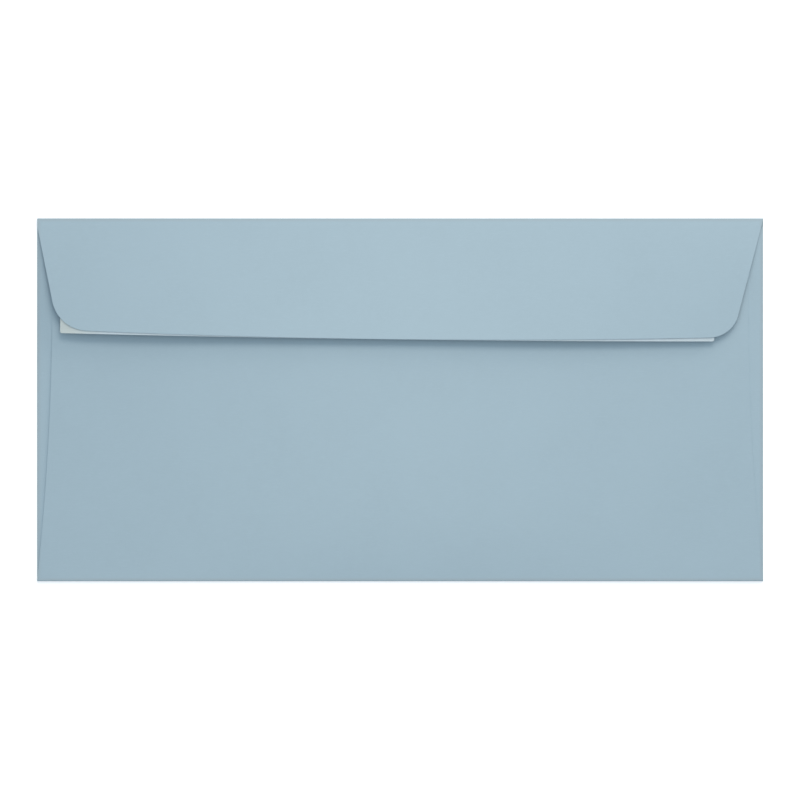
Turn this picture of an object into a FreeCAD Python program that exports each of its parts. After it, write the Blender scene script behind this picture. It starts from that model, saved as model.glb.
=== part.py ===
import FreeCAD, Part
import os

import Sketcher

# A plain wallet envelope of long business-letter size, lying on its address side with the flap
# folded down over the back. The seal is a band of glue on the flap, still under its peel-off
# liner. Millimetres. X runs along the long folds, Y points at the flap's fold and Z up. The
# origin is on the surface that the envelope lies on, under the middle of the folded rectangle.

# Each size that can be set by itself: its name, its value and what it measures.
SIZES = (
    ("envelope_width", 220.0, "from side fold to side fold"),
    ("envelope_height", 110.0, "from the bottom fold to the flap's fold"),
    ("paper_thickness", 0.15, "of the 120 g/m2 sheet"),
    ("fold_gap", 0.2, "air between the front panel and a side flap"),
    ("side_flap_width", 18.0, "from the side fold to the side flap's free edge"),
    ("side_flap_taper", 8.0, "how much shorter that free edge is at each end"),
    ("side_flap_foot_gap", 0.6, "from a side flap's low end to the bottom fold"),
    ("side_flap_head_gap", 2.5, "from its high end to the flap's fold"),
    ("back_inset", 4.5, "from the side fold to the back panel's side edge, at the throat"),
    ("back_edge_radius", 790.0, "of the back panel's hollow side edges"),
    ("throat_depth", 14.0, "from the flap's fold to the back panel's upper edge"),
    ("throat_corner_radius", 4.0, "at both ends of the back panel's upper edge"),
    ("pillow_height", 0.8, "how far the empty back panel bows up in the middle"),
    ("pillow_rise_length", 32.0, "over which it rises from the bottom fold"),
    ("throat_bow_share", 0.5, "part of that height left at the throat"),
    ("seam_glue_thickness", 0.05, "of the glue between a side flap and the back panel"),
    ("seam_glue_width", 6.0, "of that line of glue"),
    ("seam_glue_inset", 2.0, "from the back panel's side edge to the glue"),
    ("seam_glue_end_gap", 2.0, "from the glue's ends to the throat and the side flap's low corner"),
    ("flap_fold_gap", 0.3, "air inside the flap's fold, which is pressed less"),
    ("flap_left_depth", 33.5, "from the fold to the flap's left corner, before rounding"),
    ("flap_right_depth", 35.8, "the same at the right corner: the flap is cut askew"),
    ("flap_left_shoulder", 2.0, "of the flap's left side that runs straight on from the fold"),
    ("flap_left_slant", 11.5, "degrees that the flap's left side leans in below that"),
    ("flap_right_slant", 14.7, "degrees that its right side leans in"),
    ("flap_edge_bow", 1.81, "how far the flap's lower edge bows out"),
    ("flap_left_corner_radius", 11.0, "of the flap's left corner"),
    ("flap_right_corner_radius", 9.0, "of its right corner"),
    ("flap_spring", 1.2, "air under the flap's lower edge, which springs up unsealed"),
    ("seal_thickness", 0.05, "of the band of glue on the flap"),
    ("seal_width", 11.0, "of that band"),
    ("seal_end_margin", 4.0, "of bare liner past each end of the band"),
    ("seal_edge_margin", 2.5, "of bare liner along the band's lower edge"),
    ("liner_thickness", 0.07, "of the peel-off strip over the band"),
    ("liner_left_inset", 7.0, "of the strip's left end from the side fold"),
    ("liner_right_inset", 14.9, "of its right end from the other side fold"),
    ("liner_width", 16.0, "of the strip, which leaves a lip to peel by"),
    ("liner_bow", 0.65, "how far the strip's edges bow towards the flap's edge"),
    ("liner_skew", 0.09, "degrees that the strip lies askew to the flap's edge"),
    ("liner_peek", 0.1, "of the strip's lower edge past the flap's, in the middle"),
    ("liner_corner_radius", 0.6, "of the strip's corners"),
)

# What follows from those sizes, each written as a formula of the sheet's cells.
HALF_WIDTH = "(sizes.envelope_width / 2)"
HALF_HEIGHT = "(sizes.envelope_height / 2)"

# Levels of the layers over the front panel, from the bottom up.
SIDE_FLAP_FLOOR = "(sizes.paper_thickness + sizes.fold_gap)"
SIDE_FLAP_TOP = f"({SIDE_FLAP_FLOOR} + sizes.paper_thickness)"
BACK_FLOOR = f"({SIDE_FLAP_TOP} + sizes.seam_glue_thickness)"
BACK_TOP = f"({BACK_FLOOR} + sizes.paper_thickness)"

# Outer radius of each fold, and the line where the flat front panel goes over into it.
SIDE_FOLD_RADIUS = f"({SIDE_FLAP_TOP} / 2)"
BOTTOM_FOLD_RADIUS = f"({BACK_TOP} / 2)"
FLAP_FOLD_RADIUS = "(sizes.paper_thickness + sizes.flap_fold_gap / 2)"
SIDE_FOLD_X = f"({HALF_WIDTH} - {SIDE_FOLD_RADIUS})"
BOTTOM_FOLD_Y = f"(-{HALF_HEIGHT} + {BOTTOM_FOLD_RADIUS})"
FLAP_FOLD_Y = f"({HALF_HEIGHT} - {FLAP_FOLD_RADIUS})"

# Ends of the side flaps, upper edge of the back panel and its glued strips.
SIDE_FLAP_LOW_Y = f"({BOTTOM_FOLD_Y} + sizes.side_flap_foot_gap)"
SIDE_FLAP_HIGH_Y = f"({FLAP_FOLD_Y} - sizes.side_flap_head_gap)"
THROAT_Y = f"({HALF_HEIGHT} - sizes.throat_depth)"
THROAT_X = f"({HALF_WIDTH} - sizes.back_inset)"
SEAM_GLUE_OUTER_X = f"({THROAT_X} - sizes.seam_glue_inset)"
SEAM_GLUE_INNER_X = f"({SEAM_GLUE_OUTER_X} - sizes.seam_glue_width)"

# The flap in its own plane: how far its sides lean in, its lower edge's chord and its depth.
FLAP_LEFT_X = (
    f"(-{HALF_WIDTH}"
    " + (sizes.flap_left_depth - sizes.flap_left_shoulder) * tan(sizes.flap_left_slant))"
)
FLAP_RIGHT_X = f"({HALF_WIDTH} - sizes.flap_right_depth * tan(sizes.flap_right_slant))"
FLAP_CHORD_X = f"({FLAP_RIGHT_X} - {FLAP_LEFT_X})"
FLAP_CHORD_DROP = "(sizes.flap_right_depth - sizes.flap_left_depth)"
FLAP_SKEW = f"atan({FLAP_CHORD_DROP} / {FLAP_CHORD_X})"
FLAP_HALF_CHORD = f"({FLAP_CHORD_X} / 2 / cos({FLAP_SKEW}))"
FLAP_EDGE_RADIUS = f"(({FLAP_HALF_CHORD} ^ 2 + sizes.flap_edge_bow ^ 2) / 2 / sizes.flap_edge_bow)"
FLAP_MIDDLE_DEPTH = (
    "((sizes.flap_left_depth + sizes.flap_right_depth) / 2 + sizes.flap_edge_bow)"
)

# The flap slopes up from its fold until its lower edge, with the strip under it, clears the
# bowed back panel by the spring.
FLAP_EDGE_UNDERSIDE = (
    f"({BACK_TOP} + sizes.pillow_height + sizes.flap_spring"
    " + sizes.liner_thickness + sizes.seal_thickness)"
)
FLAP_FOLD_UNDERSIDE = "(sizes.paper_thickness + sizes.flap_fold_gap)"
FLAP_LIFT = f"asin(({FLAP_EDGE_UNDERSIDE} - {FLAP_FOLD_UNDERSIDE}) / {FLAP_MIDDLE_DEPTH})"
FLAP_FOLD_INNER_RADIUS = "(sizes.flap_fold_gap / 2)"
FLAP_PLANE_Y = f"({FLAP_FOLD_Y} + {FLAP_FOLD_INNER_RADIUS} * sin({FLAP_LIFT}))"
FLAP_PLANE_Z = f"({FLAP_FOLD_RADIUS} + {FLAP_FOLD_INNER_RADIUS} * cos({FLAP_LIFT}))"

# The strip under the flap: half its length, and its middle left of the envelope's.
LINER_HALF_LENGTH = (
    "((sizes.envelope_width - sizes.liner_left_inset - sizes.liner_right_inset) / 2)"
)
LINER_SHIFT = "((sizes.liner_right_inset - sizes.liner_left_inset) / 2)"
LINER_EDGE_RADIUS = (
    f"(({LINER_HALF_LENGTH} ^ 2 + sizes.liner_bow ^ 2) / 2 / sizes.liner_bow)"
)
LINER_SKEW = f"({FLAP_SKEW} + sizes.liner_skew * 1 deg)"

# The back panel is cut from a bowed sheet that reaches past it by a margin on every side.
TRIM_MARGIN = "1"
TRIM_HEIGHT = f"({TRIM_MARGIN} * 2 + sizes.pillow_height + sizes.paper_thickness)"

# The bow's curve: how many spans it has each way between its flat edges, and its degree.
BOW_SPANS = 16
BOW_DEGREE = 3

# How closely an edge's length tells that it is one of the upright edges of an outline.
EDGE_MATCH = 1e-6

document = FreeCAD.newDocument("envelope")
table = document.addObject("Spreadsheet::Sheet", "sizes")
for row, (alias, number, meaning) in enumerate(SIZES, start=1):
    table.set(f"A{row}", alias)
    table.set(f"B{row}", str(number))
    table.set(f"C{row}", meaning)
    table.setAlias(f"B{row}", alias)
document.recompute()


def value(formula):
    """What a formula of the sizes comes to, in millimetres or degrees."""
    result = table.evalExpression(formula)
    return float(getattr(result, "Value", result))


def bind(thing, formulas):
    """Binds properties of an object to formulas of the sizes."""
    for name, formula in formulas.items():
        thing.setExpression(name, formula)


def new_body(name):
    body = document.addObject("PartDesign::Body", name)
    body.Label = name
    return body


def new_sketch(body, name, plane, level):
    """A sketch parallel to one of the body's origin planes, at a level along its normal."""
    sketch = body.newObject("Sketcher::SketchObject", name)
    support = next(item for item in body.Origin.OriginFeatures if item.Role == plane)
    sketch.AttachmentSupport = [(support, "")]
    sketch.MapMode = "FlatFace"
    bind(sketch, {"AttachmentOffset.Base.z": level})
    return sketch


def new_flap_sketch(body, name, depth):
    """A sketch in the flap's sloping plane, or the given depth under the flap's underside.

    Its origin is the middle of the line where the fold goes over into the flap.
    """
    sketch = new_sketch(body, name, "XY_Plane", f"{FLAP_PLANE_Z} - {depth} * cos({FLAP_LIFT})")
    sketch.AttachmentOffset = FreeCAD.Placement(
        FreeCAD.Vector(), FreeCAD.Rotation(FreeCAD.Vector(-1, 0, 0), value(FLAP_LIFT))
    )
    bind(sketch, {
        "AttachmentOffset.Base.y": f"{FLAP_PLANE_Y} - {depth} * sin({FLAP_LIFT})",
        "AttachmentOffset.Rotation.Angle": FLAP_LIFT,
    })
    return sketch


def arc_between(start, end, radius, side):
    """The shorter arc from start to end, bulging to the right of the way for side 1, else left."""
    way = end - start
    right = FreeCAD.Vector(way.y, -way.x, 0).normalize()
    rise = radius - (radius ** 2 - (way.Length / 2) ** 2) ** 0.5
    return Part.Arc(start, start + way / 2 + right * rise * side, end)


def draw_loop(sketch, corners, arcs=None):
    """Joins corners, each two formulas, by lines, or by an arc after a corner that arcs names.

    arcs gives the arc's radius, a formula, and its side: 1 bulges out, -1 in, if the corners
    go round against the clock.
    """
    arcs = arcs or {}
    points = [FreeCAD.Vector(value(across), value(up), 0) for across, up in corners]
    for number, start in enumerate(points):
        end = points[(number + 1) % len(points)]
        if number in arcs:
            radius, side = arcs[number]
            sketch.addGeometry(arc_between(start, end, value(radius), side), False)
        else:
            sketch.addGeometry(Part.LineSegment(start, end), False)
    ends = [edge_ends(sketch, number, start) for number, start in enumerate(points)]
    for number, (across, up) in enumerate(corners):
        start_vertex, end_vertex = ends[number]
        after = (number + 1) % len(points)
        sketch.addConstraint(
            Sketcher.Constraint("Coincident", number, end_vertex, after, ends[after][0])
        )
        for kind, formula in (("DistanceX", across), ("DistanceY", up)):
            hold(sketch, formula, kind, -1, 1, number, start_vertex)
        if number in arcs:
            hold(sketch, arcs[number][0], "Radius", number)


def edge_ends(sketch, number, start):
    """Which vertex numbers, 1 or 2, are an edge's start and end: an arc may be stored turned."""
    far, near = (
        start.distanceToPoint(sketch.getPoint(number, vertex)) for vertex in (1, 2)
    )
    return (2, 1) if near < far else (1, 2)


def hold(sketch, formula, kind, *what):
    """A dimension in a sketch, bound to a formula of the sizes."""
    index = sketch.addConstraint(Sketcher.Constraint(kind, *what, value(formula)))
    bind(sketch, {f"Constraints[{index}]": formula})


def rectangle(left, low, right, high):
    return [(left, low), (right, low), (right, high), (left, high)]


def add_pad(body, sketch, length):
    pad = body.newObject("PartDesign::Pad", f"{sketch.Name}_pad")
    pad.Profile = sketch
    bind(pad, {"Length": length})
    document.recompute()
    return pad


def add_fold(body, sketch, radius, angle, turned=False):
    """Turns a sheet's edge, drawn standing on level 0, round the line a radius above it."""
    start = FreeCAD.Vector(0, value(radius), 0)
    axis = sketch.addGeometry(
        Part.LineSegment(start, start + FreeCAD.Vector(value(HALF_WIDTH), 0, 0)), True
    )
    sketch.addConstraint(Sketcher.Constraint("Horizontal", axis))
    hold(sketch, "0", "DistanceX", -1, 1, axis, 1)
    hold(sketch, radius, "DistanceY", -1, 1, axis, 1)
    hold(sketch, HALF_WIDTH, "DistanceX", -1, 1, axis, 2)
    fold = body.newObject("PartDesign::Revolution", f"{sketch.Name}_turn")
    fold.Profile = sketch
    fold.ReferenceAxis = (sketch, ["Axis0"])
    fold.Reversed = turned
    bind(fold, {"Angle": angle})
    document.recompute()
    return fold


def round_corners(body, base, height, places, radius):
    """Rounds the upright edges, as long as height, that lie nearest to the given places."""
    names = []
    for place in places:
        upright = [
            (edge.CenterOfMass.distanceToPoint(place), f"Edge{number}")
            for number, edge in enumerate(base.Shape.Edges, start=1)
            if abs(edge.Length - value(height)) < EDGE_MATCH
        ]
        names.append(min(upright)[1])
    fillet = body.newObject("PartDesign::Fillet", f"{base.Name}_corners")
    fillet.Base = (base, names)
    bind(fillet, {"Radius": radius})
    document.recompute()
    return fillet


def outline_places(sketch, corners, height):
    """Where corners of a sketch's outline are in space, half its pad's height above it."""
    return [
        sketch.Placement.multVec(FreeCAD.Vector(value(across), value(up), value(height) / 2))
        for across, up in corners
    ]


def make_folded_blank():
    """The front panel with everything that is folded over it, apart from the back panel."""
    body = new_body("folded_blank")
    make_front_panel(body)
    make_bottom_fold(body)
    make_side_flaps(body)
    make_flap(body)
    return body


def make_front_panel(body):
    """The address panel. Past the side flaps' ends it is cut to the full width."""
    outline = new_sketch(body, "front_panel", "XY_Plane", "0")
    right = [
        (HALF_WIDTH, BOTTOM_FOLD_Y),
        (HALF_WIDTH, f"({SIDE_FLAP_LOW_Y} - {SIDE_FOLD_RADIUS})"),
        (SIDE_FOLD_X, SIDE_FLAP_LOW_Y),
        (SIDE_FOLD_X, SIDE_FLAP_HIGH_Y),
        (HALF_WIDTH, f"({SIDE_FLAP_HIGH_Y} + {SIDE_FOLD_RADIUS})"),
        (HALF_WIDTH, FLAP_FOLD_Y),
    ]
    left = [(f"-{across}", up) for across, up in reversed(right)]
    draw_loop(outline, right + left)
    add_pad(body, outline, "sizes.paper_thickness")


def make_bottom_fold(body):
    edge = new_sketch(body, "bottom_fold", "XZ_Plane", f"-{BOTTOM_FOLD_Y}")
    draw_loop(edge, rectangle(f"-{HALF_WIDTH}", "0", HALF_WIDTH, "sizes.paper_thickness"))
    add_fold(body, edge, BOTTOM_FOLD_RADIUS, "180 deg", turned=True)


def make_side_flaps(body):
    """The right side's fold and its flap with slanting ends, and both mirrored to the left."""
    edge = new_sketch(body, "side_fold", "YZ_Plane", SIDE_FOLD_X)
    draw_loop(
        edge, rectangle(SIDE_FLAP_LOW_Y, "0", SIDE_FLAP_HIGH_Y, "sizes.paper_thickness")
    )
    fold = add_fold(body, edge, SIDE_FOLD_RADIUS, "180 deg", turned=True)
    outline = new_sketch(body, "side_flap", "XY_Plane", SIDE_FLAP_FLOOR)
    inner_x = f"({HALF_WIDTH} - sizes.side_flap_width)"
    draw_loop(outline, [
        (inner_x, f"({SIDE_FLAP_LOW_Y} + sizes.side_flap_taper)"),
        (SIDE_FOLD_X, SIDE_FLAP_LOW_Y),
        (SIDE_FOLD_X, SIDE_FLAP_HIGH_Y),
        (inner_x, f"({SIDE_FLAP_HIGH_Y} - sizes.side_flap_taper)"),
    ])
    flap = add_pad(body, outline, "sizes.paper_thickness")
    mirrored = body.newObject("PartDesign::Mirrored", "side_flap_mirrored")
    mirrored.Originals = [fold, flap]
    mirrored.MirrorPlane = (outline, ["V_Axis"])
    body.Tip = mirrored
    document.recompute()


def make_flap(body):
    """The flap's fold, which stops short of a half turn, and the flap in its sloping plane."""
    edge = new_sketch(body, "flap_fold", "XZ_Plane", f"-{FLAP_FOLD_Y}")
    draw_loop(edge, rectangle(f"-{HALF_WIDTH}", "0", HALF_WIDTH, "sizes.paper_thickness"))
    add_fold(body, edge, FLAP_FOLD_RADIUS, f"180 deg - {FLAP_LIFT}")
    outline = new_flap_sketch(body, "flap", "0")
    low_corners = [
        (FLAP_LEFT_X, "-sizes.flap_left_depth"),
        (FLAP_RIGHT_X, "-sizes.flap_right_depth"),
    ]
    high_corners = [(HALF_WIDTH, "0"), (f"-{HALF_WIDTH}", "0")]
    shoulder = (f"-{HALF_WIDTH}", "-sizes.flap_left_shoulder")
    draw_loop(
        outline, [*low_corners, *high_corners, shoulder], arcs={0: (FLAP_EDGE_RADIUS, 1)}
    )
    flap = add_pad(body, outline, "sizes.paper_thickness")
    places = outline_places(outline, low_corners, "sizes.paper_thickness")
    for place, radius in zip(
        places, ("sizes.flap_left_corner_radius", "sizes.flap_right_corner_radius")
    ):
        flap = round_corners(body, flap, "sizes.paper_thickness", [place], radius)


def bow_shares(knots, share_at):
    """Shares of the pillow's height at the control points of a curve with these knots.

    Each control point stands over the mean of the knots it belongs to, so the curve's own
    parameter stays a length in millimetres. Gives (place, share) pairs.
    """
    full = [knots[0]] * BOW_DEGREE + knots + [knots[-1]] * BOW_DEGREE
    count = len(full) - BOW_DEGREE - 1
    places = [sum(full[first + 1:first + 1 + BOW_DEGREE]) / BOW_DEGREE for first in range(count)]
    return [(place, share_at(place)) for place in places]


def even_knots(low, high, margin):
    """Even spans from low to high, and one span of a margin beyond each end."""
    span = (high - low) / BOW_SPANS
    between = [low + span * number for number in range(BOW_SPANS + 1)]
    return [low - margin, *between, high + margin]


def make_bowed_sheet():
    """A sheet as thick as the paper, larger than the back panel and bowed as it is.

    It is flat over the glued seams and at the bottom fold, and highest in the middle.
    """
    free_x = value(SEAM_GLUE_INNER_X)
    low_y = value(BOTTOM_FOLD_Y)
    high_y = value(THROAT_Y)
    crest_y = low_y + value("sizes.pillow_rise_length")
    throat_share = value("sizes.throat_bow_share")
    side_margin = value(HALF_WIDTH) + value(TRIM_MARGIN) - free_x
    span_x = 2 * free_x / BOW_SPANS
    span_y = (high_y - low_y) / BOW_SPANS

    def share_across(place):
        return max(0.0, 1 - (place / (free_x - span_x)) ** 2) ** 2

    def share_up(place):
        if place < crest_y:
            risen = max(0.0, place - low_y - span_y) / (crest_y - low_y - span_y)
            return 1 - (1 - risen) ** 3
        past = min(1.0, (place - crest_y) / (high_y - crest_y))
        return 1 - (1 - throat_share) * past ** 2

    knots_x = even_knots(-free_x, free_x, side_margin)
    knots_y = even_knots(low_y, high_y, value(TRIM_MARGIN))
    floor = value(BACK_FLOOR)
    height = value("sizes.pillow_height")
    poles = [
        [FreeCAD.Vector(x, y, floor + height * across * up)
         for y, up in bow_shares(knots_y, share_up)]
        for x, across in bow_shares(knots_x, share_across)
    ]
    ends = BOW_DEGREE + 1
    repeats = [ends] + [1] * BOW_SPANS + [1, ends]
    surface = Part.BSplineSurface()
    surface.buildFromPolesMultsKnots(
        poles, repeats, repeats, knots_x, knots_y, False, False, BOW_DEGREE, BOW_DEGREE
    )
    bowed = document.addObject("Part::Feature", "bowed_sheet")
    bowed.Shape = surface.toShape().extrude(FreeCAD.Vector(0, 0, value("sizes.paper_thickness")))
    bowed.Placement = FreeCAD.Placement()
    return bowed


def make_back_panel():
    """The bowed back panel: hollow side edges over the side flaps, and the throat's edge."""
    body = new_body("back_panel_outline")
    outline = new_sketch(body, "back_outline", "XY_Plane", f"{BACK_FLOOR} - {TRIM_MARGIN}")
    high_corners = [(THROAT_X, THROAT_Y), (f"-{THROAT_X}", THROAT_Y)]
    low_corners = [(f"-{HALF_WIDTH}", BOTTOM_FOLD_Y), (HALF_WIDTH, BOTTOM_FOLD_Y)]
    hollow = ("sizes.back_edge_radius", -1)
    draw_loop(outline, low_corners + high_corners, arcs={1: hollow, 3: hollow})
    pad = add_pad(body, outline, TRIM_HEIGHT)
    places = outline_places(outline, high_corners, TRIM_HEIGHT)
    round_corners(body, pad, TRIM_HEIGHT, places, "sizes.throat_corner_radius")
    panel = document.addObject("Part::Common", "back_panel")
    panel.Base = make_bowed_sheet()
    panel.Tool = body
    document.recompute()
    return panel


def make_envelope_sheet():
    """The whole blank, cut and folded from one sheet of paper."""
    folded = document.addObject("Part::Fuse", "envelope_sheet")
    folded.Base = make_folded_blank()
    folded.Tool = make_back_panel()
    folded.Label = "envelope_sheet"
    document.recompute()
    return folded


def make_seam_glue(name, side):
    """A line of glue that holds the back panel down on a side flap: side 1 is right, -1 left."""
    glue = document.addObject("Part::Box", name)
    glue.Label = name
    low_y = f"({SIDE_FLAP_LOW_Y} + sizes.side_flap_taper + sizes.seam_glue_end_gap)"
    bind(glue, {
        "Length": "sizes.seam_glue_width",
        "Width": f"{THROAT_Y} - sizes.seam_glue_end_gap - {low_y}",
        "Height": "sizes.seam_glue_thickness",
        "Placement.Base.x": SEAM_GLUE_INNER_X if side > 0 else f"-{SEAM_GLUE_OUTER_X}",
        "Placement.Base.y": low_y,
        "Placement.Base.z": SIDE_FLAP_TOP,
    })
    return glue


def strip_corner(along, up):
    """A corner in the flap's plane, from its place along the strip and up from its lower edge.

    The strip lies nearly parallel to the flap's lower edge, its middle left of centre.
    """
    across = f"(-{LINER_SHIFT} + ({along}) * cos({LINER_SKEW}) + ({up}) * sin({LINER_SKEW}))"
    height = (
        f"({LINER_SHIFT} * tan({FLAP_SKEW}) - {FLAP_MIDDLE_DEPTH} - sizes.liner_peek"
        f" - ({along}) * sin({LINER_SKEW}) + ({up}) * cos({LINER_SKEW}))"
    )
    return across, height


def make_strip(name, half_length, low, high, depth, thickness):
    """A flat strip under the flap, its lower face at a depth under the flap's underside.

    Its long edges are bowed alike. low and high are where they are in the strip's middle.
    """
    body = new_body(name)
    outline = new_flap_sketch(body, f"{name}_outline", depth)
    rise = f"{LINER_EDGE_RADIUS} - sqrt({LINER_EDGE_RADIUS} ^ 2 - {half_length} ^ 2)"
    corners = [
        strip_corner(f"-{half_length}", f"{low} + {rise}"),
        strip_corner(half_length, f"{low} + {rise}"),
        strip_corner(half_length, f"{high} + {rise}"),
        strip_corner(f"-{half_length}", f"{high} + {rise}"),
    ]
    draw_loop(outline, corners, arcs={0: (LINER_EDGE_RADIUS, 1), 2: (LINER_EDGE_RADIUS, -1)})
    pad = add_pad(body, outline, thickness)
    return body, pad, outline_places(outline, corners, thickness)


def make_seal_glue():
    """The band of glue on the flap's underside, a little smaller than its liner."""
    low = "sizes.seal_edge_margin"
    body, _, _ = make_strip(
        "seal_glue", f"({LINER_HALF_LENGTH} - sizes.seal_end_margin)",
        low, f"({low} + sizes.seal_width)", "sizes.seal_thickness", "sizes.seal_thickness",
    )
    return body


def make_liner():
    """The peel-off strip over the band of glue, which peeks out past the flap's corners."""
    body, pad, places = make_strip(
        "release_liner", LINER_HALF_LENGTH, "0", "sizes.liner_width",
        "(sizes.seal_thickness + sizes.liner_thickness)", "sizes.liner_thickness",
    )
    round_corners(body, pad, "sizes.liner_thickness", places, "sizes.liner_corner_radius")
    return body


def write_parts(pieces):
    """Checks everything in the document, then writes each piece to a file of its own."""
    document.recompute()
    for item in document.Objects:
        if {"Invalid", "Error"} & set(item.State):
            raise RuntimeError(f"{item.Label} did not compute")
    os.makedirs("parts", exist_ok=True)
    for piece in pieces:
        if piece.Shape.isNull() or not piece.Shape.isValid():
            raise RuntimeError(f"{piece.Label} has no valid shape")
        piece.Shape.exportStep(os.path.join("parts", f"{piece.Label}.step"))
        print(f"{piece.Label}: {len(piece.Shape.Solids)} solid, {piece.Shape.Volume:.2f} mm3")


write_parts([
    make_envelope_sheet(),
    make_seam_glue("seam_glue_left", -1),
    make_seam_glue("seam_glue_right", 1),
    make_seal_glue(),
    make_liner(),
])
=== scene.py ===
import math
from types import SimpleNamespace

import bmesh
import bpy
from bpy.props import FloatProperty, FloatVectorProperty, IntProperty, PointerProperty
from bpy.types import Operator, Panel, PropertyGroup
from mathutils import Matrix, Vector


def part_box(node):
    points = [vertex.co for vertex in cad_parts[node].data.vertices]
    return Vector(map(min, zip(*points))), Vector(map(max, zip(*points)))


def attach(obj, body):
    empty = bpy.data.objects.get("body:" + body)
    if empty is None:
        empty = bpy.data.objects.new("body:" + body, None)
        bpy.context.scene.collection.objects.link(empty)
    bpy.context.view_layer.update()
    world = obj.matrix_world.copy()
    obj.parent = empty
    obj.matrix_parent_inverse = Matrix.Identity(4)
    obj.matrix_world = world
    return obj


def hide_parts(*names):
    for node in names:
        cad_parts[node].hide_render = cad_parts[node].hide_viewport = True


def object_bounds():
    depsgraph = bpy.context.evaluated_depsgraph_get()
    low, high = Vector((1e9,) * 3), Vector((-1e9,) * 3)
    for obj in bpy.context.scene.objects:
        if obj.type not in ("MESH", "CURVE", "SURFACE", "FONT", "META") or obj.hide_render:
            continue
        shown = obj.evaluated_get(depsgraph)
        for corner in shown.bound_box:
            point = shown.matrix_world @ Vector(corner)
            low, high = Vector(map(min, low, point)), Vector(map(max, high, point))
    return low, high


bl_info = {
    "name": "Pale blue envelope",
    "version": (1, 0, 0),
    "blender": (4, 5, 0),
    "location": "View3D > Sidebar > Envelope",
    "description": "A folded paper envelope with a peel-off liner, in its studio",
    "category": "Object",
}

# The envelope lies on its address side in the frame's place: X along the long folds, Y towards
# the flap's fold and Z up out of the back. Everything here is in metres.
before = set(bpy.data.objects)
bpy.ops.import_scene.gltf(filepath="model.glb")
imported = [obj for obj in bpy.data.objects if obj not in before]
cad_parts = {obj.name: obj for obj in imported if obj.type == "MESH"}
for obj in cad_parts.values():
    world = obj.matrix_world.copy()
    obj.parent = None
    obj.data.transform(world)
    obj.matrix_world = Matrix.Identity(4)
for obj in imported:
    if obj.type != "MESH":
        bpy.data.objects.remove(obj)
CAD_LOW, CAD_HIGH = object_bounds()
_, SHEET_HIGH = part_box("envelope_sheet")
BODY = "root"

# Places are compared to a micrometre.
NEAR = 1e-6
# The floor lies this far below the envelope, so that their faces don't coincide.
FLOOR_GAP = 2e-5
# Edges that turn less than this shade smoothly.
SMOOTH_ANGLE = math.radians(35)
# A strip's rounded corner turns its quarter in this many steps.
STRIP_CORNER_STEPS = 6
# The liner's left end is yellowed out here and plain from there inwards.
AGED_FROM, AGED_TO = -0.100, -0.088


def length(name, default, description):
    return FloatProperty(
        name=name, description=description, default=default, precision=5,
        unit="LENGTH", subtype="DISTANCE",
    )


def angle(name, degrees, description):
    return FloatProperty(
        name=name, description=description, default=math.radians(degrees),
        unit="ROTATION", subtype="ANGLE",
    )


def colour(name, default, description):
    return FloatVectorProperty(
        name=name, description=description, default=default, size=3, min=0, max=1,
        subtype="COLOR",
    )


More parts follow.
